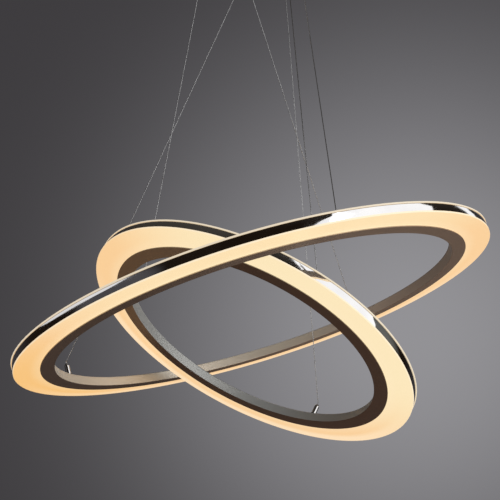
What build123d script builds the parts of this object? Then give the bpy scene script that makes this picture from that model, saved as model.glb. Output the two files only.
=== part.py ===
from build123d import *
from math import cos, pi, radians, sin, sqrt
import os

os.makedirs("parts", exist_ok=True)

# A pendant light of two tilted LED rings, one inside the other. Each ring hangs on three thin steel
# wires from one round ceiling canopy. The wires carry the low voltage, so no lead runs beside them.
# Millimetres, +Z up. The origin is where the canopy's axis meets the ceiling.

# Rings: size over the diffuser, centre of the underside, tilt, and the compass angle of the low side
large_rim_diameter = 700.0
large_centre_x = -3.2
large_centre_y = -10.2
large_drop = 690.0
large_tilt = 16.7
large_low_side = 187.4
small_rim_diameter = 500.0
small_centre_x = -15.8
small_centre_y = 0.2
small_drop = 727.5
small_tilt = 28.5
small_low_side = 27.3

# Wires: angle of each foot round its ring from the low side, and of each hole round the canopy
large_feet = {"left": 337.6, "near": 103.1, "far": 225.1}
small_feet = {"left": 139.9, "near": 264.6, "far": 27.0}
large_holes = {"left": 117.0, "near": -3.0, "far": 237.0}
small_holes = {"left": 177.0, "near": 297.0, "far": 57.0}
large_hole_radius = 70.0
small_hole_radius = 91.0
wire_diameter = 1.2
wire_bend_radius = 6.0
wire_bend_stand = 3.0
wire_tail = 5.0

# Ring section, the same on both rings
glow_width = 36.2
sheet_thickness = 2.2
rim_height = 10.4
rim_thickness = 1.2
rim_recess = 0.8
rim_crown = 0.25
housing_width = 20.0
housing_height = 14.8
housing_below = 2.0
housing_wall = 2.0
housing_flange = 1.5
housing_top_round = 1.8
housing_bottom_round = 0.8
sheet_edge_round = 0.6
tongue_depth = 6.0
tongue_root = 3.0
sheet_gap = 0.2

# Light engine
strip_width = 6.0
strip_thickness = 0.5
strip_height = 1.2
strip_seat = 0.05
strip_break = 4.0
chip_pitch = 16.7
chip_length = 3.5
chip_height = 2.8
chip_depth = 1.2
chip_seat = 0.02

# Wire fittings on the rings
foot_inset = 14.4
barrel_diameter = 7.6
barrel_height = 16.4
barrel_nose = 3.0
barrel_nose_diameter = 4.8
barrel_bore = 4.8
barrel_roof = 3.6
mouth_diameter = 1.8
mouth_flare = 0.7
stud_diameter = 4.0
stud_spigot = 4.7
stud_spigot_height = 5.0
bush_diameter = 9.0
bush_thickness = 0.8
tag_thickness = 0.4
tag_diameter = 6.8
foot_nut_flats = 6.0
foot_nut_height = 2.4
stud_end = 0.5
stop_diameter = 3.6
stop_height = 4.8
stop_bore = 1.4
thread_clearance = 0.1

# Canopy
canopy_diameter = 230.0
canopy_height = 45.0
cover_wall = 1.2
cover_corner = 8.0
ceiling_gap = 0.5
plate_diameter = 200.0
plate_thickness = 2.0
slot_spacing = 90.0
slot_length = 20.0
slot_width = 5.5
ear_count = 3
ear_start = 30.0
ear_width = 20.0
ear_height = 16.0
ear_clearance = 0.3
ear_reach = 20.0
cover_screw_drop = 9.0
cover_screw_diameter = 4.0
cover_screw_length = 8.0
cover_screw_head = 9.0
cover_screw_head_length = 5.0
cover_screw_flutes = 16
cover_hole_clearance = 0.5
head_seat = 0.05

# Drivers and wiring pieces under the plate
driver_offset = 42.0
large_driver_length = 120.0
large_driver_width = 42.0
large_driver_height = 22.0
small_driver_length = 100.0
small_driver_width = 36.0
small_driver_height = 20.0
driver_round = 2.5
driver_lug = 9.0
driver_lug_thickness = 3.0
driver_screw_diameter = 3.0
driver_screw_head = 5.5
driver_screw_head_height = 2.0
terminal_x = 11.0
terminal_length = 36.0
terminal_width = 18.0
terminal_height = 14.0
terminal_ways = 3
terminal_entry = 4.0
terminal_entry_depth = 7.0
inlet_x = -22.0
inlet_hole = 16.0
inlet_bore = 10.0
grommet_diameter = 20.0
grommet_flange = 1.5
grommet_clearance = 0.1
earth_x = 78.0
earth_y = 24.0
earth_screw_diameter = 4.0
earth_head = 8.0
earth_head_height = 2.4

# Wire grippers in the canopy
gripper_thread = 9.8
gripper_thread_above = 12.0
gripper_collar = 14.0
gripper_collar_height = 4.0
gripper_nose = 10.0
gripper_nose_length = 16.0
gripper_nose_chamfer = 1.2
gripper_guide = 12.0
gripper_chamber = 6.6
gripper_bush_flange = 15.0
gripper_bush_thickness = 1.0
gripper_bush_neck = 0.5
gripper_nut_flats = 14.0
gripper_nut_height = 3.0
plug_height = 2.5
plunger_diameter = 5.0
plunger_out = 4.0
plunger_flange = 6.4
plunger_flange_height = 1.5
plunger_tip_round = 0.8
running_clearance = 0.05
spring_wire = 0.6
spring_diameter = 5.6
spring_turns = 7

# Levels worked out from the sizes above, the ring ones from the underside of the diffuser
diffuser_height = 2 * sheet_thickness + rim_height
housing_bottom = -housing_below
housing_top = housing_bottom + housing_height
channel_floor = housing_bottom + housing_flange
channel_roof = housing_top - housing_flange
barrel_seat = housing_top + bush_thickness
barrel_top = barrel_seat + barrel_height
stop_level = barrel_top - barrel_roof - stop_height - running_clearance
tag_level = channel_roof - bush_thickness - tag_thickness
nut_level = tag_level - foot_nut_height
cover_face = -canopy_height
cover_floor = cover_face + cover_wall
collar_top = cover_face - gripper_bush_thickness
nose_top = collar_top - gripper_collar_height
nose_bottom = nose_top - gripper_nose_length
guide_top = nose_bottom + gripper_guide
gripper_top = cover_floor + gripper_thread_above
plug_bottom = gripper_top - plug_height
plunger_tip = nose_bottom - plunger_out
plunger_flange_bottom = guide_top + running_clearance
plunger_top = plunger_flange_bottom + plunger_flange_height
cover_radius = canopy_diameter / 2
cover_inside = cover_radius - cover_wall

STAND = (Align.CENTER, Align.CENTER, Align.MIN)
HANG = (Align.CENTER, Align.CENTER, Align.MAX)


class Ring:
    """Places one ring: its tilted plane, its axis and the seats of its three wires."""

    def __init__(self, name, diameter, centre, tilt, low_side, feet, holes, hole_radius):
        lean, compass = radians(tilt), radians(low_side)
        normal = Vector(sin(lean) * cos(compass), sin(lean) * sin(compass), cos(lean))
        downhill = Vector(cos(lean) * cos(compass), cos(lean) * sin(compass), -sin(lean))
        self.name = name
        self.outer = diameter / 2
        self.glow = self.outer - glow_width
        self.inner = self.glow - housing_width
        self.plane = Plane(origin=centre, x_dir=downhill, z_dir=normal)
        self.axis = Axis(centre, normal)
        self.feet = feet
        self.holes = {side: self.hole(hole_radius, angle) for side, angle in holes.items()}

    def hole(self, radius, angle):
        """Centre of a wire's hole in the canopy."""
        return Vector(radius * cos(radians(angle)), radius * sin(radians(angle)), 0)

    def section(self, angle=0.0):
        """The half plane of the ring's section: X runs outwards and Y runs up the ring's axis."""
        turned = self.plane.rotated((0, 0, angle))
        return Plane(origin=turned.origin, x_dir=turned.x_dir, z_dir=turned.x_dir.cross(turned.z_dir))

    def seat(self, side, level):
        """The plane square to the ring's axis at a wire's foot, at a level above the underside."""
        radius, angle = self.glow - foot_inset, radians(self.feet[side])
        spot = self.plane.from_local_coords((radius * cos(angle), radius * sin(angle), level))
        return Plane(origin=spot, x_dir=self.plane.x_dir, z_dir=self.plane.z_dir)

    def seats(self, level):
        return [self.seat(side, level) for side in self.feet]


large = Ring("large", large_rim_diameter, (large_centre_x, large_centre_y, -large_drop), large_tilt,
             large_low_side, large_feet, large_holes, large_hole_radius)
small = Ring("small", small_rim_diameter, (small_centre_x, small_centre_y, -small_drop), small_tilt,
             small_low_side, small_feet, small_holes, small_hole_radius)
rings = [large, small]
hole_spots = [spot for ring in rings for spot in ring.holes.values()]


def write(piece, label):
    """Labels a finished piece and writes it to its own file."""
    piece.part.label = label
    export_step(piece.part, f"parts/{label}.step")


def at_height(spots, level):
    """The same places at another height."""
    return [Vector(spot.X, spot.Y, level) for spot in spots]


# Ceiling plate: a steel disc with two slots for the ceiling screws and three ears bent down
ear_face = sqrt((cover_inside - ear_clearance) ** 2 - (ear_width / 2) ** 2)
ear_planes = [
    Plane(origin=(0, 0, 0), x_dir=(cos(radians(a)), sin(radians(a)), 0), z_dir=(0, 0, 1))
    for a in (ear_start + 360 / ear_count * i for i in range(ear_count))
]
driver_sizes = {
    "large": (large_driver_length, large_driver_width, large_driver_height, driver_offset),
    "small": (small_driver_length, small_driver_width, small_driver_height, -driver_offset),
}
driver_screw_spots = [
    (end * (length + driver_lug) / 2, offset)
    for length, width, height, offset in driver_sizes.values()
    for end in (-1, 1)
]
with BuildPart() as ceiling_plate:
    Cylinder(plate_diameter / 2, plate_thickness, align=HANG)
    with Locations(*ear_planes):
        with Locations((ear_face, 0, 0)):
            Box(ear_reach, ear_width, plate_thickness, align=(Align.MAX, Align.CENTER, Align.MAX))
            Box(plate_thickness, ear_width, ear_height, align=(Align.MAX, Align.CENTER, Align.MAX))
    with BuildSketch() as slots:
        with Locations((-slot_spacing / 2, 0), (slot_spacing / 2, 0)):
            SlotOverall(slot_length, slot_width)
        with Locations((inlet_x, 0)):
            Circle(inlet_hole / 2)
        with Locations(*driver_screw_spots):
            Circle(driver_screw_diameter / 2 + thread_clearance / 2)
        with Locations((earth_x, earth_y)):
            Circle(earth_screw_diameter / 2 + thread_clearance / 2)
    extrude(amount=-plate_thickness, mode=Mode.SUBTRACT)
    with Locations(*ear_planes):
        with Locations((ear_face, 0, -cover_screw_drop)):
            Cylinder((cover_screw_diameter + thread_clearance) / 2, 4 * plate_thickness,
                     rotation=(0, 90, 0), mode=Mode.SUBTRACT)
write(ceiling_plate, "ceiling_plate")

# Canopy cover: a spun steel cup, pierced for six grippers and three side screws
with BuildPart() as canopy_cover:
    with BuildSketch(Plane.XZ) as cup:
        with BuildLine():
            Polyline((0, cover_face), (cover_radius, cover_face), (cover_radius, -ceiling_gap),
                     (cover_inside, -ceiling_gap), (cover_inside, cover_floor), (0, cover_floor), close=True)
        make_face()
        fillet(cup.vertices().sort_by_distance((cover_radius, cover_face))[0], cover_corner)
        fillet(cup.vertices().sort_by_distance((cover_inside, cover_floor))[0], cover_corner - cover_wall)
    revolve(axis=Axis.Z)
    with Locations(*at_height(hole_spots, cover_face)):
        Cylinder(gripper_thread / 2 + gripper_bush_neck + thread_clearance, cover_wall, align=STAND,
                 mode=Mode.SUBTRACT)
    with Locations(*ear_planes):
        with Locations((cover_radius, 0, -cover_screw_drop)):
            Cylinder((cover_screw_diameter + cover_hole_clearance) / 2, 4 * cover_wall,
                     rotation=(0, 90, 0), mode=Mode.SUBTRACT)
write(canopy_cover, "canopy_cover")

# Cover screws: fluted thumb screws through the cup's side into the ears
with BuildPart() as cover_screws:
    for plane in ear_planes:
        axis_plane = Plane(origin=plane.from_local_coords((cover_radius + head_seat, 0, -cover_screw_drop)),
                           x_dir=(0, 0, 1), z_dir=plane.x_dir)
        with BuildSketch(axis_plane) as head:
            Circle(cover_screw_head / 2)
            with PolarLocations(cover_screw_head / 2, cover_screw_flutes):
                Circle(cover_screw_head / 2 * pi / cover_screw_flutes / 2, mode=Mode.SUBTRACT)
        extrude(amount=cover_screw_head_length)
        with BuildSketch(axis_plane) as shank:
            Circle(cover_screw_diameter / 2)
        extrude(amount=-cover_screw_length)
write(cover_screws, "cover_screws")

# Drivers: one potted box for each ring, screwed under the plate by a lug at each end
for name, (length, width, height, offset) in driver_sizes.items():
    with BuildPart() as driver:
        with Locations((0, offset, -plate_thickness)):
            Box(length, width, height, align=HANG)
            fillet(driver.edges().filter_by(Axis.Z) + driver.faces().sort_by(Axis.Z)[0].edges(), driver_round)
            Box(length + 2 * driver_lug, width / 2, driver_lug_thickness, align=HANG)
        with Locations(*((x, y, -plate_thickness) for x, y in driver_screw_spots if y == offset)):
            Cylinder((driver_screw_diameter + thread_clearance) / 2, driver_lug_thickness, align=HANG,
                     mode=Mode.SUBTRACT)
    write(driver, f"{name}_ring_driver")

with BuildPart() as driver_screws:
    with Locations(*((x, y, -plate_thickness - driver_lug_thickness) for x, y in driver_screw_spots)):
        Cylinder(driver_screw_head / 2, driver_screw_head_height, align=HANG)
        Cylinder(driver_screw_diameter / 2, driver_lug_thickness + plate_thickness - ceiling_gap, align=STAND)
write(driver_screws, "driver_screws")

# Mains pieces: terminal block, rubber grommet in the inlet and the brass earth screw
with BuildPart() as terminal_block:
    with Locations((terminal_x, 0, -plate_thickness)):
        Box(terminal_length, terminal_width, terminal_height, align=HANG)
        with Locations((0, 0, -terminal_height / 2)):
            with GridLocations(terminal_length / terminal_ways, terminal_width, terminal_ways, 2):
                Cylinder(terminal_entry / 2, 2 * terminal_entry_depth, rotation=(90, 0, 0), mode=Mode.SUBTRACT)
write(terminal_block, "terminal_block")

with BuildPart() as inlet_grommet:
    with Locations((inlet_x, 0, -plate_thickness)):
        Cylinder(grommet_diameter / 2, grommet_flange, align=HANG)
        Cylinder(inlet_hole / 2 - grommet_clearance, plate_thickness, align=STAND)
        Cylinder(inlet_bore / 2, 2 * (plate_thickness + grommet_flange), mode=Mode.SUBTRACT)
write(inlet_grommet, "inlet_grommet")

with BuildPart() as earth_screw:
    with Locations((earth_x, earth_y, -plate_thickness)):
        Cylinder(earth_head / 2, earth_head_height, align=HANG)
        fillet(earth_screw.faces().sort_by(Axis.Z)[0].edges(), earth_head_height / 3)
        Cylinder(earth_screw_diameter / 2, plate_thickness - ceiling_gap, align=STAND)
write(earth_screw, "earth_screw")

# Grippers: a plated brass body through each hole of the cover, insulated by a bush and held by a nut
with BuildPart() as gripper_bodies:
    with Locations(*at_height(hole_spots, nose_bottom)):
        Cone(gripper_nose / 2 - gripper_nose_chamfer, gripper_nose / 2, gripper_nose_chamfer, align=STAND)
    with Locations(*at_height(hole_spots, nose_bottom + gripper_nose_chamfer)):
        Cylinder(gripper_nose / 2, gripper_nose_length - gripper_nose_chamfer, align=STAND)
    with Locations(*at_height(hole_spots, nose_top)):
        Cylinder(gripper_collar / 2, gripper_collar_height, align=STAND)
    with Locations(*at_height(hole_spots, collar_top)):
        Cylinder(gripper_thread / 2, gripper_top - collar_top, align=STAND)
    with Locations(*at_height(hole_spots, nose_bottom)):
        Cylinder(plunger_diameter / 2 + running_clearance, gripper_guide, align=STAND, mode=Mode.SUBTRACT)
    with Locations(*at_height(hole_spots, guide_top)):
        Cylinder(gripper_chamber / 2, gripper_top - guide_top, align=STAND, mode=Mode.SUBTRACT)
write(gripper_bodies, "gripper_bodies")

with BuildPart() as gripper_bushes:
    with Locations(*at_height(hole_spots, cover_face)):
        Cylinder(gripper_bush_flange / 2, gripper_bush_thickness, align=HANG)
        Cylinder(gripper_thread / 2 + gripper_bush_neck, cover_wall, align=STAND)
        Cylinder(gripper_thread / 2 + thread_clearance / 2, 4 * cover_wall, mode=Mode.SUBTRACT)
write(gripper_bushes, "gripper_bushes")

with BuildPart() as gripper_nuts:
    with BuildSketch(Plane.XY.offset(cover_floor)):
        with Locations(*((spot.X, spot.Y) for spot in hole_spots)):
            RegularPolygon(gripper_nut_flats / 2, 6, major_radius=False)
            Circle((gripper_thread + thread_clearance) / 2, mode=Mode.SUBTRACT)
    extrude(amount=gripper_nut_height)
write(gripper_nuts, "gripper_nuts")

with BuildPart() as gripper_plugs:
    with Locations(*at_height(hole_spots, plug_bottom)):
        Cylinder((gripper_chamber - thread_clearance) / 2, plug_height, align=STAND)
        Cylinder(mouth_diameter / 2, plug_height, align=STAND, mode=Mode.SUBTRACT)
write(gripper_plugs, "gripper_plugs")

# Plungers and springs: pressing a plunger up lets its wire slide, and its spring sends it back
spring_start = plunger_top + running_clearance + spring_wire / 2
spring_rise = plug_bottom - running_clearance - spring_wire / 2 - spring_start
for ring in rings:
    for side, spot in ring.holes.items():
        with BuildPart() as plunger:
            with Locations((spot.X, spot.Y, plunger_tip)):
                Cylinder(plunger_diameter / 2, plunger_top - plunger_tip, align=STAND)
                fillet(plunger.faces().sort_by(Axis.Z)[0].edges(), plunger_tip_round)
            with Locations((spot.X, spot.Y, plunger_flange_bottom)):
                Cylinder(plunger_flange / 2, plunger_flange_height, align=STAND)
            with Locations((spot.X, spot.Y, plunger_tip)):
                Cylinder(mouth_diameter / 2, plunger_top - plunger_tip, align=STAND, mode=Mode.SUBTRACT)
                Cone(mouth_diameter / 2 + mouth_flare, mouth_diameter / 2, mouth_flare, align=STAND,
                     mode=Mode.SUBTRACT)
        write(plunger, f"{ring.name}_plunger_{side}")

        with BuildPart() as spring:
            with BuildLine(Plane.XY.offset(spring_start).move(Location((spot.X, spot.Y, 0)))) as coil:
                Helix(spring_rise / spring_turns, spring_rise, (spring_diameter - spring_wire) / 2)
            with BuildSketch(Plane(origin=coil.line @ 0, z_dir=coil.line % 0)):
                Circle(spring_wire / 2)
            sweep()
        write(spring, f"{ring.name}_spring_{side}")

# Rings: an aluminium channel, two opal sheets with a chrome band between them, and the light engine
for ring in rings:
    with BuildPart() as housing:
        with BuildSketch(ring.section()) as channel:
            with BuildLine():
                Polyline((ring.inner, housing_bottom), (ring.glow, housing_bottom),
                         (ring.glow, channel_floor), (ring.inner + housing_wall, channel_floor),
                         (ring.inner + housing_wall, channel_roof), (ring.glow, channel_roof),
                         (ring.glow, housing_top), (ring.inner, housing_top), close=True)
            make_face()
            fillet(channel.vertices().sort_by_distance((ring.inner, housing_top))[0], housing_top_round)
            fillet(channel.vertices().sort_by_distance((ring.inner, housing_bottom))[0], housing_bottom_round)
        revolve(axis=ring.axis)
        with Locations(*ring.seats(channel_roof)):
            Cylinder(stud_diameter / 2 + bush_thickness + thread_clearance, housing_flange, align=STAND,
                     mode=Mode.SUBTRACT)
    write(housing, f"{ring.name}_housing")

    tongue_end = ring.glow - tongue_depth
    sheet_start = ring.glow + sheet_gap
    with BuildPart() as lower_diffuser:
        with BuildSketch(ring.section()) as lower_section:
            with BuildLine():
                Polyline((sheet_start, 0), (ring.outer, 0), (ring.outer, sheet_thickness),
                         (ring.glow + tongue_root, sheet_thickness),
                         (ring.glow + tongue_root, channel_floor + sheet_thickness),
                         (tongue_end, channel_floor + sheet_thickness), (tongue_end, channel_floor),
                         (sheet_start, channel_floor), close=True)
            make_face()
            fillet(lower_section.vertices().sort_by_distance((ring.outer, 0))[0], sheet_edge_round)
        revolve(axis=ring.axis)
    write(lower_diffuser, f"{ring.name}_lower_diffuser")

    sheet_under = diffuser_height - sheet_thickness
    with BuildPart() as upper_diffuser:
        with BuildSketch(ring.section()) as upper_section:
            with BuildLine():
                Polyline((sheet_start, diffuser_height), (ring.outer, diffuser_height),
                         (ring.outer, sheet_under), (ring.glow + tongue_root, sheet_under),
                         (ring.glow + tongue_root, channel_roof - sheet_thickness),
                         (tongue_end, channel_roof - sheet_thickness), (tongue_end, channel_roof),
                         (sheet_start, channel_roof), close=True)
            make_face()
            fillet(upper_section.vertices().sort_by_distance((ring.outer, diffuser_height))[0],
                   sheet_edge_round)
        revolve(axis=ring.axis)
    write(upper_diffuser, f"{ring.name}_upper_diffuser")

    rim_face = ring.outer - rim_recess
    with BuildPart() as rim_band:
        with BuildSketch(ring.section()):
            with BuildLine():
                ThreePointArc((rim_face, sheet_thickness), (rim_face + rim_crown, diffuser_height / 2),
                              (rim_face, sheet_under))
                Polyline((rim_face, sheet_under), (rim_face - rim_thickness, sheet_under),
                         (rim_face - rim_thickness, sheet_thickness), (rim_face, sheet_thickness))
            make_face()
        revolve(axis=ring.axis)
    write(rim_band, f"{ring.name}_rim_band")

    strip_face = ring.inner + housing_wall + strip_seat + strip_thickness
    with BuildPart() as led_strip:
        with BuildSketch(ring.section(strip_break / 2)):
            with Locations((strip_face, strip_height)):
                Rectangle(strip_thickness, strip_width, align=(Align.MAX, Align.MIN))
        revolve(axis=ring.axis, revolution_arc=360 - strip_break)
    write(led_strip, f"{ring.name}_led_strip")

    chip_count = int(radians(360 - 2 * strip_break) * strip_face / chip_pitch)
    with BuildPart() as led_chips:
        with Locations(ring.plane.offset(strip_height + strip_width / 2)):
            with PolarLocations(strip_face + chip_seat, chip_count, start_angle=strip_break,
                                angular_range=360 - 2 * strip_break):
                Box(chip_depth, chip_length, chip_height, align=(Align.MIN, Align.CENTER, Align.CENTER))
    write(led_chips, f"{ring.name}_led_chips")

    # Wire fittings: a chrome barrel on a stud that is insulated from the channel by two bushes
    with BuildPart() as barrels:
        with Locations(*ring.seats(barrel_seat)):
            Cylinder(barrel_diameter / 2, barrel_height - barrel_nose, align=STAND)
        with Locations(*ring.seats(barrel_top - barrel_nose)):
            Cone(barrel_diameter / 2, barrel_nose_diameter / 2, barrel_nose, align=STAND)
        with Locations(*ring.seats(barrel_seat)):
            Cylinder(barrel_bore / 2, barrel_height - barrel_roof, align=STAND, mode=Mode.SUBTRACT)
            Cylinder(mouth_diameter / 2, barrel_height, align=STAND, mode=Mode.SUBTRACT)
        with Locations(*ring.seats(barrel_top)):
            Cone(mouth_diameter / 2, mouth_diameter / 2 + mouth_flare, mouth_flare, align=HANG,
                 mode=Mode.SUBTRACT)
    write(barrels, f"{ring.name}_wire_barrels")

    with BuildPart() as studs:
        with Locations(*ring.seats(barrel_seat)):
            Cylinder(stud_diameter / 2, barrel_seat - nut_level + stud_end, align=HANG)
            Cylinder(stud_spigot / 2, stud_spigot_height, align=STAND)
    write(studs, f"{ring.name}_wire_studs")

    with BuildPart() as stops:
        with Locations(*ring.seats(stop_level)):
            Cylinder(stop_diameter / 2, stop_height, align=STAND)
            Cylinder(stop_bore / 2, stop_height, align=STAND, mode=Mode.SUBTRACT)
    write(stops, f"{ring.name}_wire_stops")

    with BuildPart() as upper_bushes:
        with Locations(*ring.seats(housing_top)):
            Cylinder(bush_diameter / 2, bush_thickness, align=STAND)
            Cylinder(stud_diameter / 2 + bush_thickness, housing_flange, align=HANG)
            Cylinder((stud_diameter + thread_clearance) / 2, 4 * housing_flange, mode=Mode.SUBTRACT)
    write(upper_bushes, f"{ring.name}_upper_bushes")

    with BuildPart() as lower_bushes:
        with Locations(*ring.seats(channel_roof)):
            Cylinder(tag_diameter / 2, bush_thickness, align=HANG)
            Cylinder((stud_diameter + thread_clearance) / 2, bush_thickness, align=HANG, mode=Mode.SUBTRACT)
    write(lower_bushes, f"{ring.name}_lower_bushes")

    with BuildPart() as solder_tags:
        with Locations(*ring.seats(tag_level)):
            Cylinder(tag_diameter / 2, tag_thickness, align=STAND)
            Cylinder((stud_diameter + thread_clearance) / 2, tag_thickness, align=STAND, mode=Mode.SUBTRACT)
    write(solder_tags, f"{ring.name}_solder_tags")

    with BuildPart() as foot_nuts:
        with BuildSketch(*ring.seats(nut_level)):
            RegularPolygon(foot_nut_flats / 2, 6, major_radius=False)
            Circle((stud_diameter + thread_clearance) / 2, mode=Mode.SUBTRACT)
        extrude(amount=foot_nut_height)
    write(foot_nuts, f"{ring.name}_foot_nuts")

# Wires: straight steel rope, bent where it leaves a plunger and where it enters a barrel
for ring in rings:
    for side, spot in ring.holes.items():
        route = [
            Vector(spot.X, spot.Y, gripper_top + wire_tail),
            Vector(spot.X, spot.Y, plunger_tip - wire_bend_stand),
            ring.seat(side, barrel_top + wire_bend_stand).origin,
            ring.seat(side, stop_level).origin,
        ]
        with BuildPart() as wire:
            with BuildLine() as path:
                FilletPolyline(*route, radius=wire_bend_radius)
            rope = path.wires()[0]
            with BuildSketch(Plane(origin=rope @ 0, z_dir=rope % 0)):
                Circle(wire_diameter / 2)
            sweep()
        write(wire, f"{ring.name}_wire_{side}")
        fill = wire.part.volume / (pi / 4 * wire_diameter ** 2 * rope.length)
        print(f"{ring.name}_wire_{side}: length {rope.length:.1f}, volume over section times length {fill:.4f}")
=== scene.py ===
import bpy
from math import cos, pi, radians, sin
from mathutils import Matrix, Vector


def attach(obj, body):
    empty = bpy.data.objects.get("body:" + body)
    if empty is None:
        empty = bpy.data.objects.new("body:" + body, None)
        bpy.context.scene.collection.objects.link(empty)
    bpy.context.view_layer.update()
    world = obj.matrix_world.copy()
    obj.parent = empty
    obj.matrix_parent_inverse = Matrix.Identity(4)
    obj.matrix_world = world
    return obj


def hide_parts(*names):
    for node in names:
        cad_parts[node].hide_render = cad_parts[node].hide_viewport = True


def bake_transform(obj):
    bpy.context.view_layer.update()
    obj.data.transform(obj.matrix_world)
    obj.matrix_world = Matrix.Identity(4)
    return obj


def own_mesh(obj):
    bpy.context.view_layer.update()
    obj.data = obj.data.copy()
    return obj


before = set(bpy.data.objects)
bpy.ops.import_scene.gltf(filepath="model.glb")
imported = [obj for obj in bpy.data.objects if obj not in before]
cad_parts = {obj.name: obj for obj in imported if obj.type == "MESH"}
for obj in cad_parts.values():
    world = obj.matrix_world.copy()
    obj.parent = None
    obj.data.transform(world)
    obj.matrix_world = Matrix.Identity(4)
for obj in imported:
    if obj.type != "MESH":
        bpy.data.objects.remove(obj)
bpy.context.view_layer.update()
scene = bpy.context.scene
scene.view_settings.view_transform = "Standard"

# Camera: stands in front of the light and below it, as someone does who looks up at it. The canopy is
# just above the top of the view.
camera_at = (-0.01266, -1.32992, -1.06659)
camera_pitch = radians(20.0)
camera_lens = 68.04
camera_data = bpy.data.cameras.new("camera")
camera_data.lens = camera_lens
camera = bpy.data.objects.new("camera", camera_data)
camera.location = camera_at
camera.rotation_euler = (pi / 2 + camera_pitch, 0, 0)
scene.collection.objects.link(camera)
scene.camera = camera

# Floor: a pale painted studio floor well under the light, flat and matt. It fades into the surround some
# metres out, so that no edge of it shows.
floor_level = -2.0
floor_reach = 12.0
floor_clear, floor_gone = 1.2, 3.0
floor_white = (0.74, 0.74, 0.75, 1)


def node(tree, kind, inputs=(), **settings):
    """A new shader node. Each input is a socket to link from or a value to set."""
    made = tree.nodes.new("ShaderNode" + kind)
    for name, value in settings.items():
        setattr(made, name, value)
    for socket, value in inputs.items() if isinstance(inputs, dict) else enumerate(inputs):
        if isinstance(value, bpy.types.NodeSocket):
            tree.links.new(value, made.inputs[socket])
        else:
            made.inputs[socket].default_value = value
    return made


def finish(name, **fixed):
    """A new material, its node tree and its surface shader with the values that are the same all over."""
    material = bpy.data.materials.new(name)
    material.use_nodes = True
    tree = material.node_tree
    surface = tree.nodes["Principled BSDF"]
    for socket, value in fixed.items():
        surface.inputs[socket.replace("_", " ")].default_value = value
    return material, tree, surface


def ramp(tree, value, low, high, to_low=0.0, to_high=1.0):
    """A smooth step of a value from one level to another."""
    return node(tree, "MapRange", {"Value": value, "From Min": low, "From Max": high, "To Min": to_low,
                                   "To Max": to_high}, interpolation_type="SMOOTHSTEP").outputs[0]


def own_place(tree):
    """Where each spot of a piece is, in metres."""
    return node(tree, "TexCoord").outputs["Object"]


def from_axis(tree, place):
    """How far a place is from the upright axis."""
    flat = node(tree, "VectorMath", (place, (1, 1, 0)), operation="MULTIPLY").outputs[0]
    return node(tree, "VectorMath", (flat,), operation="LENGTH").outputs["Value"]


floor_mesh = bpy.data.meshes.new("floor")
floor_mesh.from_pydata([(x * floor_reach, y * floor_reach, floor_level) for x, y in
                        ((-1, -1), (1, -1), (1, 1), (-1, 1))], [], [(0, 1, 2, 3)])
floor = bpy.data.objects.new("floor", floor_mesh)
scene.collection.objects.link(floor)
floor_paint, tree, surface = finish("floor_paint", Base_Color=floor_white, Roughness=0.9)
fade = ramp(tree, from_axis(tree, own_place(tree)), floor_clear, floor_gone, 1.0, 0.0)
tree.links.new(fade, surface.inputs["Alpha"])
floor_mesh.materials.append(floor_paint)

# Surround: a plain grey studio wall, lighter to the right, and soft even light from all sides. Polished
# metal sees the same wall in front of the camera and a dim room behind it, which is less dim overhead, on
# the right and low on the left. The pairs are where each change starts and where it is full.
wall_dark, wall_light = (0.0485, 0.0455, 0.0495, 1), (0.293, 0.289, 0.305, 1)
pool_toward, pool_edge, pool_falloff = (0.171, 0.951, 0.257), 0.796, 5.4
room_low, room_high, room_rise = (0.011, 0.007, 0.0045, 1), (0.050, 0.045, 0.039, 1), (0.35, 0.9)
room_right, right_change = (0.140, 0.140, 0.128, 1), (0.93, 1.0)
room_left, left_toward, left_change = (0.074, 0.071, 0.076, 1), (-0.872, -0.484, -0.07), (0.90, 0.97)
wall_change = (0.4, 0.95)
even_light = (0.25, 0.25, 0.255, 1)


def maths(tree, operation, *values):
    """The result of one operation on numbers."""
    return node(tree, "Math", values, operation=operation).outputs[0]


def along(tree, direction, axis):
    """How far a direction points along an axis."""
    return node(tree, "VectorMath", (direction, axis), operation="DOT_PRODUCT").outputs["Value"]


def mix(tree, mask, first, second):
    """A colour that goes from the first to the second with a mask."""
    return node(tree, "MixRGB", (mask, first, second)).outputs[0]


world = bpy.data.worlds.new("studio")
world.use_nodes = True
scene.world = world
tree = world.node_tree
toward = node(tree, "TexCoord").outputs["Generated"]
part = node(tree, "SeparateXYZ", (toward,)).outputs
both_ways = node(tree, "CombineXYZ", (part["X"], maths(tree, "ABSOLUTE", part["Y"]), part["Z"])).outputs[0]
near_pool = along(tree, both_ways, pool_toward)
spread = node(tree, "MapRange", {"Value": near_pool, "From Min": pool_edge, "From Max": 1.0}).outputs[0]
wall = mix(tree, maths(tree, "POWER", spread, pool_falloff), wall_dark, wall_light)
room = mix(tree, ramp(tree, part["Z"], *room_rise), room_low, room_high)
room = mix(tree, ramp(tree, part["X"], *right_change), room, room_right)
room = mix(tree, ramp(tree, along(tree, toward, left_toward), *left_change), room, room_left)
seen_in_metal = mix(tree, ramp(tree, part["Y"], *wall_change), room, wall)
ray = node(tree, "LightPath").outputs
lit = mix(tree, ray["Is Glossy Ray"], even_light, seen_in_metal)
shown = mix(tree, ray["Is Camera Ray"], lit, wall)
tree.links.new(shown, tree.nodes["Background"].inputs["Color"])

# Lamps: a large square softbox to the right of the camera, a narrow one that slants off its left edge, a
# slanting strip behind the light on the right, and a long low oval on the left. They show as white
# stretches in the polished rims. The key adds to the softbox on plain surfaces alone.
lamps_face = Vector((0, 0, -0.69))
lamp_distance = 2.6


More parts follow.
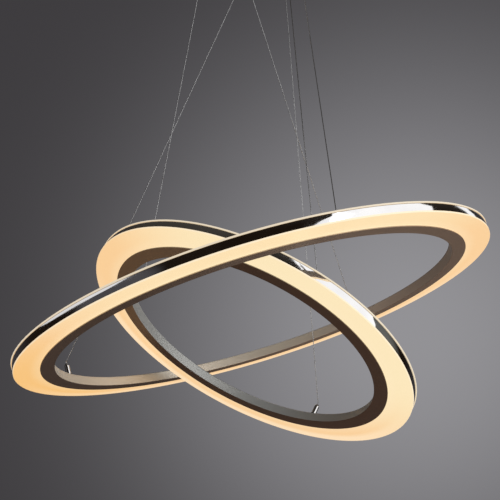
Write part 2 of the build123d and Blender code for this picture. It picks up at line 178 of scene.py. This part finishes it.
def softbox(name, shape, compass, height, width, tall, roll, level, in_metal=True):
    """A lamp that faces the rings from a compass angle and a height angle, rolled about its own axis."""
    turn, rise = radians(compass), radians(height)
    outward = Vector((cos(rise) * cos(turn), cos(rise) * sin(turn), sin(rise)))
    data = bpy.data.lights.new(name, "AREA")
    data.shape = shape
    data.size, data.size_y = width, tall
    face = width * tall * (pi / 4 if shape == "ELLIPSE" else 1)
    data.energy = level * pi * face
    lamp = bpy.data.objects.new(name, data)
    lamp.location = lamps_face + outward * lamp_distance
    facing = outward.to_track_quat("Z", "Y").to_matrix() @ Matrix.Rotation(radians(roll), 3, "Z")
    lamp.rotation_euler = facing.to_euler()
    lamp.visible_camera = False
    lamp.visible_glossy = in_metal
    scene.collection.objects.link(lamp)


softbox("softbox_right", "RECTANGLE", -33.5, 15.6, 2.4, 2.4, -8.5, 1.12)
softbox("softbox_edge", "RECTANGLE", -59.3, 17.1, 0.40, 1.1, -30, 1.05)
softbox("key_right", "ELLIPSE", -27, 15, 3.0, 3.0, 0, 1.9, in_metal=False)
softbox("strip_back", "RECTANGLE", 36, 24, 0.27, 1.6, 41, 1.05)
softbox("oval_left", "ELLIPSE", -172, 13, 3.2, 1.2, 1, 0.8)

# Ceiling plate: a pressed steel disc with screw slots and three ears, bright zinc plated. The plating is
# slightly cloudy and takes rub marks where it is handled. The lock nuts and small screws match it.
cloud_change, rub_change = (0.32, 0.68), (0.16, 0.36)
rub_finer = 9.0


def group(name, inputs, outputs):
    """A new node group with these float or vector inputs and float outputs."""
    tree = bpy.data.node_groups.new(name, "ShaderNodeTree")
    for socket, value in inputs.items():
        kind = "NodeSocketVector" if isinstance(value, tuple) else "NodeSocketFloat"
        made = tree.interface.new_socket(socket, in_out="INPUT", socket_type=kind)
        made.default_value = value
    for socket in outputs:
        tree.interface.new_socket(socket, in_out="OUTPUT", socket_type="NodeSocketFloat")
    return tree, tree.nodes.new("NodeGroupInput").outputs, tree.nodes.new("NodeGroupOutput").inputs


cloudy, give, take = group("cloudy", {"Place": (0.0, 0.0, 0.0), "Scale": 40.0}, ("Cloud", "Rub"))
fine_scale = maths(cloudy, "MULTIPLY", give["Scale"], rub_finer)
soft = node(cloudy, "TexNoise", {"Vector": give["Place"], "Scale": give["Scale"],
                                 "Detail": 3.0}).outputs["Fac"]
fine = node(cloudy, "TexNoise", {"Vector": give["Place"], "Scale": fine_scale,
                                 "Detail": 4.0}).outputs["Fac"]
cloudy.links.new(ramp(cloudy, soft, *cloud_change), take["Cloud"])
cloudy.links.new(ramp(cloudy, maths(cloudy, "MULTIPLY", soft, fine), *rub_change), take["Rub"])


def clouds(tree, scale):
    """Soft clouds and finer rub marks over the piece, from 0 to 1."""
    made = node(tree, "Group", node_tree=cloudy)
    tree.links.new(own_place(tree), made.inputs["Place"])
    made.inputs["Scale"].default_value = scale
    return made.outputs


def bump(tree, surface, height, distance, strength=0.3):
    """Raises the surface by a height from 0 to 1 times a distance."""
    made = node(tree, "Bump", {"Strength": strength, "Distance": distance, "Height": height})
    tree.links.new(made.outputs[0], surface.inputs["Normal"])


def two_tone(tree, surface, mask, colours, roughness):
    """Colour and roughness that go from one value to another with a mask."""
    first, second = colours
    tree.links.new(mix(tree, mask, (*first, 1), (*second, 1)), surface.inputs["Base Color"])
    tree.links.new(ramp(tree, mask, 0, 1, *roughness), surface.inputs["Roughness"])


def clouded(name, scale, colours, roughness, relief=None, **fixed):
    """A material whose tone follows soft clouds, with its rub marks in fine relief where it has any."""
    material, tree, surface = finish(name, **fixed)
    marks = clouds(tree, scale)
    two_tone(tree, surface, marks["Cloud"], colours, roughness)
    if relief:
        bump(tree, surface, marks["Rub"], relief)
    return material


def dress(material, *names):
    """Gives CAD nodes a material in place of their plain one."""
    for name in names:
        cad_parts[name].data.materials[0] = material


zinc = clouded("bright_zinc", 60.0, ((0.55, 0.57, 0.60), (0.68, 0.68, 0.66)), (0.26, 0.42), 0.00004,
               Metallic=0.7)
dress(zinc, "ceiling_plate", "driver_screws", "gripper_nuts", "large_wire_stops", "small_wire_stops",
      "large_foot_nuts", "small_foot_nuts")

# Drivers: two potted supplies in white moulded cases, screwed under the plate by a lug at each end. The
# moulding has a fine spark-eroded grain.
case_white = clouded("case_white", 160.0, ((0.80, 0.80, 0.78), (0.86, 0.86, 0.84)), (0.46, 0.58), 0.00008)
dress(case_white, "large_ring_driver", "small_ring_driver")

# Terminal block, inlet grommet and earth screw: natural nylon, soft black rubber and turned brass. The
# supply cable comes in through the grommet. The brass is dulled in patches.
nylon_natural = clouded("nylon_natural", 120.0, ((0.76, 0.73, 0.63), (0.84, 0.81, 0.72)), (0.36, 0.5),
                        0.00005)
dress(nylon_natural, "terminal_block")
rubber_black = clouded("rubber_black", 220.0, ((0.020, 0.020, 0.021), (0.045, 0.045, 0.046)), (0.66, 0.82),
                       0.00008, Specular_IOR_Level=0.35)
dress(rubber_black, "inlet_grommet")
brass_turned = clouded("brass_turned", 260.0, ((0.62, 0.45, 0.20), (0.80, 0.64, 0.34)), (0.24, 0.44), 0.00003,
                       Metallic=1.0)
dress(brass_turned, "earth_screw", "gripper_plugs", "large_wire_studs", "small_wire_studs",
      "large_solder_tags", "small_solder_tags")

# Canopy: a spun steel cup in satin chrome, held to the plate's ears by three fluted screws. Spinning leaves
# fine lines round it.
lines_to_metre = 1500.0
satin_chrome, tree, surface = finish("satin_chrome", Metallic=0.9)
place = own_place(tree)
height = node(tree, "SeparateXYZ", (place,)).outputs["Z"]
run = maths(tree, "SUBTRACT", from_axis(tree, place), height)
turning = node(tree, "TexNoise", {"W": run, "Scale": lines_to_metre, "Detail": 2.0}, noise_dimensions="1D")
lines = ramp(tree, turning.outputs["Fac"], 0.35, 0.65)
two_tone(tree, surface, lines, ((0.64, 0.64, 0.65), (0.72, 0.72, 0.73)), (0.24, 0.34))
bump(tree, surface, lines, 0.00002, 0.06)
dress(satin_chrome, "canopy_cover")


# Cover screws, gripper bodies and plungers: turned brass with a bright chrome plate. The plate is smooth,
# with faint wipe marks.
def chromed(name):
    """A bright chrome plate: the material, its node tree and its surface shader."""
    material, tree, surface = finish(name, Metallic=1.0)
    cloud = clouds(tree, 22.0)["Cloud"]
    two_tone(tree, surface, cloud, ((0.79, 0.78, 0.785), (0.87, 0.86, 0.86)), (0.035, 0.095))
    bump(tree, surface, cloud, 0.00004, 0.12)
    return material, tree, surface


chrome = chromed("chrome_plate")[0]
dress(chrome, "cover_screws", "gripper_bodies",
      *(f"{ring}_plunger_{side}" for ring in ("large", "small") for side in ("left", "near", "far")))

# Insulating bushes: moulded collars of black nylon with a fine matt grain. They keep the live grippers off
# the canopy and the live wire studs off the housings.
nylon_black = clouded("nylon_black", 300.0, ((0.022, 0.022, 0.023), (0.040, 0.040, 0.041)), (0.42, 0.6),
                      0.00005)
dress(nylon_black, "gripper_bushes", *(f"{ring}_{level}_bushes" for ring in ("large", "small")
                                       for level in ("upper", "lower")))

# Return springs: bright drawn wire, with fine draw lines along it. Each is coiled between a plunger and the
# brass plug over it.
spring_wire = clouded("spring_wire", 700.0, ((0.46, 0.46, 0.47), (0.62, 0.62, 0.63)), (0.22, 0.38), 0.00002,
                      Metallic=1.0)
for ring in ("large", "small"):
    for side in ("left", "near", "far"):
        spring = f"{ring}_spring_{side}"
        dress(spring_wire, spring)
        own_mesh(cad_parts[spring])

# Ring planes: each ring is flat and round and leans on its three wires. The values are the centre of the
# underside, the radius over the diffuser, the tilt and the compass angle of the low side, the angle of
# each wire's foot from the low side, and the angle and radius of each wire's hole in the canopy.
glow_width = 0.0362
foot_inset = 0.0144


class Ring:
    """One ring: the matrix from its own plane to the row frame, and the spots of its wires."""

    def __init__(self, name, radius, centre, tilt, low_side, feet, holes, hole_radius):
        lean, compass = radians(tilt), radians(low_side)
        across = Vector((cos(lean) * cos(compass), cos(lean) * sin(compass), -sin(lean)))
        axis = Vector((sin(lean) * cos(compass), sin(lean) * sin(compass), cos(lean)))
        self.name = name
        self.radius = radius
        self.glow = radius - glow_width
        self.centre = centre
        self.turn = Matrix((across, axis.cross(across), axis)).transposed()
        self.matrix = Matrix.Translation(centre) @ self.turn.to_4x4()
        self.feet = {side: radians(angle) for side, angle in feet.items()}
        self.holes = {side: radians(angle) for side, angle in holes.items()}
        self.hole_radius = hole_radius

    def seat(self, side, level):
        """A point on the axis of a wire's foot, at a level above the underside."""
        reach, angle = self.glow - foot_inset, self.feet[side]
        return self.matrix @ Vector((reach * cos(angle), reach * sin(angle), level))

    def hole(self, side, level):
        """A point on the axis of a wire's hole in the canopy, at a level below the ceiling."""
        angle = self.holes[side]
        return Vector((self.hole_radius * cos(angle), self.hole_radius * sin(angle), level))


large = Ring("large", 0.350, (-0.0032, -0.0102, -0.690), 16.7, 187.4,
             {"left": 337.6, "near": 103.1, "far": 225.1}, {"left": 117, "near": -3, "far": 237}, 0.070)
small = Ring("small", 0.250, (-0.0158, 0.0002, -0.7275), 28.5, 27.3,
             {"left": 139.9, "near": 264.6, "far": 27.0}, {"left": 177, "near": 297, "far": 57}, 0.091)
rings = (large, small)

# Housings: bent aluminium channels, anodised with a satin grain that runs round the ring. The underside is
# a dark bronze tone of painted shade and painted reflection of the warm glow, and the inner wall is bare
# satin. Both carry painted light and shade that changes from one side of the ring to the other, and the
# large ring's left wall is painted warm with the small ring's glow. The pairs are where each change starts
# and where it is full.
# Painted light and shade: the wall tones go from the ring's left side to its right, as the light falls.
satin = {"large": ((0.70, 0.63, 0.53, 1), (0.43, 0.34, 0.28, 1)),
         "small": ((0.47, 0.47, 0.45, 1), (0.41, 0.37, 0.32, 1))}
# Painted shade and painted warm reflection: the dark bronze underside tones, from one side to the other.
underside_painted_shade = {"large": ((0.125, 0.073, 0.045, 1), (0.28, 0.19, 0.135, 1)),
          "small": ((0.25, 0.145, 0.075, 1), (0.11, 0.052, 0.025, 1))}
wall_shade_change = (0.1, 0.85)
underside_lit_toward = {"large": (1.0, 0.0, 0.0), "small": (0.94, 0.34, 0.0)}
underside_shade_change = {"large": (-0.6, 0.4), "small": (-0.66, -0.40)}
under_level = (-0.0012, -0.0018)
grain_round, grain_across = 3.0, 2600.0
ring_place, give, take = group("ring_place", {"Place": (0.0, 0.0, 0.0), "Centre": (0.0, 0.0, 0.0),
                                              "Turn": (0.0, 0.0, 0.0)}, ("Radius", "Height", "Angle"))
own = node(ring_place, "Mapping", {"Vector": give["Place"], "Location": give["Centre"],
                                   "Rotation": give["Turn"]}, vector_type="TEXTURE").outputs[0]
split = node(ring_place, "SeparateXYZ", (own,)).outputs
ring_place.links.new(from_axis(ring_place, own), take["Radius"])
ring_place.links.new(split["Z"], take["Height"])
ring_place.links.new(maths(ring_place, "ARCTAN2", split["Y"], split["X"]), take["Angle"])


def round_ring(tree, ring):
    """Radius, height and angle on a ring, in its own plane."""
    made = node(tree, "Group", node_tree=ring_place)
    tree.links.new(own_place(tree), made.inputs["Place"])
    made.inputs["Centre"].default_value = ring.centre
    made.inputs["Turn"].default_value = ring.turn.to_euler()
    return made.outputs


def side_of_ring(tree, ring):
    """The direction from a ring's centre to the spot."""
    offset = node(tree, "VectorMath", (own_place(tree), ring.centre), operation="SUBTRACT").outputs[0]
    return node(tree, "VectorMath", (offset,), operation="NORMALIZE").outputs[0]


for ring in rings:
    housing, tree, surface = finish(f"{ring.name}_housing_satin", Specular_IOR_Level=0.25)
    spot = round_ring(tree, ring)
    grain_at = node(tree, "CombineXYZ", (maths(tree, "MULTIPLY", spot["Angle"], grain_round),
                                         maths(tree, "MULTIPLY", spot["Radius"], grain_across),
                                         maths(tree, "MULTIPLY", spot["Height"], grain_across))).outputs[0]
    grain = node(tree, "TexNoise", {"Vector": grain_at, "Scale": 1.0, "Detail": 3.0}).outputs["Fac"]
    # Painted light and shade: the wall and underside tones change with the side of the ring.
    compass = side_of_ring(tree, ring)
    rightward = node(tree, "SeparateXYZ", (compass,)).outputs["X"]
    facing = along(tree, compass, underside_lit_toward[ring.name])
    wall_painted_light = mix(tree, ramp(tree, rightward, *wall_shade_change), *satin[ring.name])
    under_painted_light = mix(tree, ramp(tree, facing, *underside_shade_change[ring.name]), *underside_painted_shade[ring.name])
    under = ramp(tree, spot["Height"], *under_level)
    tree.links.new(mix(tree, under, wall_painted_light, under_painted_light), surface.inputs["Base Color"])
    tree.links.new(ramp(tree, under, 0, 1, 0.6, 0.2), surface.inputs["Metallic"])
    tree.links.new(ramp(tree, grain, 0.3, 0.7, 0.46, 0.58), surface.inputs["Roughness"])
    bump(tree, surface, grain, 0.00003, 0.03)
    dress(housing, f"{ring.name}_housing")

# Light engine: a white flexible strip stuck round the channel wall, with small LEDs that shine outwards
# into the opal sheets. Each LED is a white cup filled with yellow phosphor.
strip_white = clouded("strip_white", 180.0, ((0.78, 0.78, 0.76), (0.86, 0.86, 0.84)), (0.4, 0.55), 0.00004)
dress(strip_white, "large_led_strip", "small_led_strip")
phosphor = clouded("phosphor", 500.0, ((0.82, 0.66, 0.18), (0.90, 0.78, 0.34)), (0.5, 0.7),
                   Emission_Color=(1.0, 0.78, 0.42, 1), Emission_Strength=1.0)
dress(phosphor, "large_led_chips", "small_led_chips")

# Diffusers: opal acrylic rings above and below the light, lit warm white from inside. They are palest
# next to the channel, and the cut edges are whiter. The glow also carries painted light and shade by
# compass direction: it is paler towards the camera and at the far rim and deeper at the large ring's
# left end, and the cut edges take the same painted paling towards the camera. The pairs are where each
# change starts and where it is full.
glow, inner_glow, outer_glow = (0.88, 0.565, 0.275, 1), (0.92, 0.76, 0.50, 1), (0.95, 0.80, 0.58, 1)
# Painted light and shade: the pale and end tones and the far rim are set by compass direction.
pale_glow = {"large": (0.90, 0.685, 0.39, 1), "small": (0.90, 0.735, 0.45, 1)}
pale_toward = {"large": (0.09, -1.0, 0.0), "small": (0.5, -0.87, 0.0)}
pale_change = {"large": (0.45, 0.95), "small": (-0.15, 0.8)}
end_glow = {"large": (0.86, 0.49, 0.155, 1), "small": glow}
end_toward, end_change = (-1.0, 0.1, 0.0), (0.6, 0.95)
channel_fade, channel_share = 0.018, 0.28
back_change = (-0.1, 0.6)
outer_start, outer_full = 0.020, 0.008
outer_share = {"large": 0.3, "small": 0.5}
lower_edge, pale_edge, upper_edge = (0.87, 0.665, 0.43, 1), (0.90, 0.755, 0.53, 1), (0.68, 0.59, 0.455, 1)
edge_start, edge_full = 0.0007, 0.0001
upper_change = (0.006, 0.008)
for ring in rings:
    opal, tree, surface = finish(f"{ring.name}_opal", Base_Color=(0.18, 0.16, 0.13, 1), Roughness=0.42,
                                 Specular_IOR_Level=0.3, Emission_Strength=1.0)
    spot = round_ring(tree, ring)
    compass = side_of_ring(tree, ring)
    backward = node(tree, "SeparateXYZ", (compass,)).outputs["Y"]
    # Painted light: the glow is paler towards the camera.
    painted_pale = ramp(tree, along(tree, compass, pale_toward[ring.name]), *pale_change[ring.name])
    # Painted shade: the glow is deeper at the large ring's left end.
    painted_end_shade = ramp(tree, along(tree, compass, end_toward), *end_change)
    by_channel = ramp(tree, spot["Radius"], ring.radius - channel_fade, ring.glow, 0.0, channel_share)
    outer = ramp(tree, spot["Radius"], ring.radius - outer_start, ring.radius - outer_full, 0.0,
                 outer_share[ring.name])
    # Painted light: a paler outer rim on the far side of the ring alone.
    painted_far_rim = maths(tree, "MULTIPLY", ramp(tree, backward, *back_change), outer)
    edge = ramp(tree, spot["Radius"], ring.radius - edge_start, ring.radius - edge_full)
    # The cut edges take the same painted light towards the camera.
    low_edge = mix(tree, painted_pale, lower_edge, pale_edge)
    edge_glow = mix(tree, ramp(tree, spot["Height"], *upper_change), low_edge, upper_edge)
    shade = mix(tree, painted_pale, glow, pale_glow[ring.name])
    for mask, colour in ((painted_end_shade, end_glow[ring.name]), (by_channel, inner_glow), (painted_far_rim, outer_glow),
                         (edge, edge_glow)):
        shade = mix(tree, mask, shade, colour)
    tree.links.new(shade, surface.inputs["Emission Color"])
    dress(opal, f"{ring.name}_lower_diffuser", f"{ring.name}_upper_diffuser")

# Rim bands: thin strip with a bright chrome plate, rolled round and let into the edge between the two opal
# sheets. A fine line of painted shade darkens the chrome in the joint under the upper sheet.
sheet_under = 0.0126
joint_line = 0.0008
joint_shade = (0.30, 0.26, 0.23, 1)
for ring in rings:
    band_chrome, tree, surface = chromed(f"{ring.name}_band_chrome")
    height = round_ring(tree, ring)["Height"]
    # Painted shade: a thin dark line on the chrome just under the upper sheet.
    joint_painted_shadow = ramp(tree, height, sheet_under - joint_line, sheet_under - joint_line / 2)
    plate = surface.inputs["Base Color"].links[0].from_socket
    tree.links.new(mix(tree, joint_painted_shadow, plate, joint_shade), surface.inputs["Base Color"])
    dress(band_chrome, f"{ring.name}_rim_band")

# Wire feet: turned barrels with the same bright chrome plate as the grippers. Each stands on the top of a
# housing, on a stud through it, and hides the crimped stop on the end of a wire.
dress(chrome, "large_wire_barrels", "small_wire_barrels")

# Suspension wires: stainless rope of six strands laid round a core. Each is gripped in the canopy, leaves
# through its plunger and runs taut to a crimped stop inside a barrel on the ring. Drawing one wire of each
# ring in through its gripper tilts the ring.
rope_diameter = 0.0012
rope_lay = 0.012
rope_step = 0.0011
route_fineness = 700
strands = 6
strand_profile = ((-30, 0.90), (-12, 1.0), (12, 1.0))
bend_stand = 0.003
lead_diameters = 6
straight_lead = lead_diameters * rope_diameter
grip_level = -0.042
plunger_tip = -0.070
rope_end_levels = (-0.0268, -0.0345)
barrel_top = 0.030
stop_level = 0.0216
adjusting = {"large": "left", "small": "far"}


def spline_line(points):
    """Points along the smooth line that a route's control points give, about a rope step apart."""
    data = bpy.data.curves.new("route", "CURVE")
    data.dimensions = "3D"
    spline = data.splines.new("NURBS")
    spline.points.add(len(points) - 1)
    for point, place in zip(spline.points, points):
        point.co = (*place, 1)
    spline.order_u = 3
    spline.use_endpoint_u = True
    spline.resolution_u = route_fineness
    bare = bpy.data.objects.new("route", data)
    mesh = bpy.data.meshes.new_from_object(bare)
    line = [mesh.vertices[0].co.copy()]
    for vertex in mesh.vertices:
        if (vertex.co - line[-1]).length >= rope_step:
            line.append(vertex.co.copy())
    line[-1] = mesh.vertices[-1].co.copy()
    bpy.data.meshes.remove(mesh)
    bpy.data.curves.remove(data)
    return line


def mesh_piece(name, vertices, faces, material):
    """A smooth-shaded mesh object made of these vertices and faces."""
    mesh = bpy.data.meshes.new(name)
    mesh.from_pydata(vertices, [], faces)
    mesh.polygons.foreach_set("use_smooth", [True] * len(mesh.polygons))
    mesh.materials.append(material)
    piece = bpy.data.objects.new(name, mesh)
    scene.collection.objects.link(piece)
    return piece


def rope_shell(line):
    """Vertices and faces of a closed tube along a line, fluted and twisted like laid strands."""
    section = [(radians(360 / strands * strand + turn), reach) for strand in range(strands)
               for turn, reach in strand_profile]
    count, vertices, run = len(section), [], 0.0
    side = (line[1] - line[0]).orthogonal().normalized()
    for i, place in enumerate(line):
        ahead = (line[min(i + 1, len(line) - 1)] - line[max(i - 1, 0)]).normalized()
        side = (side - ahead * side.dot(ahead)).normalized()
        other = ahead.cross(side)
        if i:
            run += (place - line[i - 1]).length
        twist = 2 * pi * run / rope_lay
        for turn, reach in section:
            spoke = side * cos(turn + twist) + other * sin(turn + twist)
            vertices.append(place + spoke * reach * rope_diameter / 2)
    faces = [tuple(reversed(range(count)))]
    for i in range(len(line) - 1):
        low, high = i * count, (i + 1) * count
        faces += [(low + k, low + (k + 1) % count, high + (k + 1) % count, high + k) for k in range(count)]
    faces.append(tuple(range(len(vertices) - count, len(vertices))))
    return vertices, faces


rope_steel = clouded("rope_steel", 900.0, ((0.64, 0.64, 0.65), (0.78, 0.78, 0.79)), (0.22, 0.30),
                     Metallic=1.0)
for ring in rings:
    for side in ring.feet:
        wire = f"{ring.name}_wire_{side}"
        start, end = ring.hole(side, grip_level), ring.seat(side, stop_level)
        top_bend = ring.hole(side, plunger_tip - bend_stand)
        foot_bend = ring.seat(side, barrel_top + bend_stand)
        lead = (foot_bend - top_bend).normalized() * straight_lead
        lap = lead / lead_diameters
        if side == adjusting[ring.name]:
            line = spline_line([top_bend, top_bend + lead, foot_bend - lead, foot_bend])
            rope = mesh_piece(f"{ring.name}_rope_{side}", *rope_shell(line), rope_steel)
            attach(rope, f"{ring.name}_adjusting_wire")
            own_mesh(rope)
            tails = {"canopy": ("grip", [start, top_bend, top_bend + lap]),
                     f"{ring.name}_ring": ("foot", [foot_bend - lap, foot_bend, end])}
            for body, (word, points) in tails.items():
                tail = mesh_piece(f"{ring.name}_rope_{word}", *rope_shell(spline_line(points)), rope_steel)
                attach(tail, body)
        else:
            line = spline_line([start, top_bend, top_bend + lead, foot_bend - lead, foot_bend, end])
            rope = mesh_piece(f"{ring.name}_rope_{side}", *rope_shell(line), rope_steel)
            ring.seat(side, barrel_top)
            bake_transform(rope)
        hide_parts(wire)
        ring.hole(side, plunger_tip)

end_vertices, end_faces = [], []
for ring in rings:
    for side in ring.holes:
        vertices, faces = rope_shell(spline_line([ring.hole(side, level) for level in rope_end_levels]))
        end_faces += [tuple(k + len(end_vertices) for k in face) for face in faces]
        end_vertices += vertices
rope_ends = mesh_piece("rope_ends", end_vertices, end_faces, rope_steel)
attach(rope_ends, "canopy")
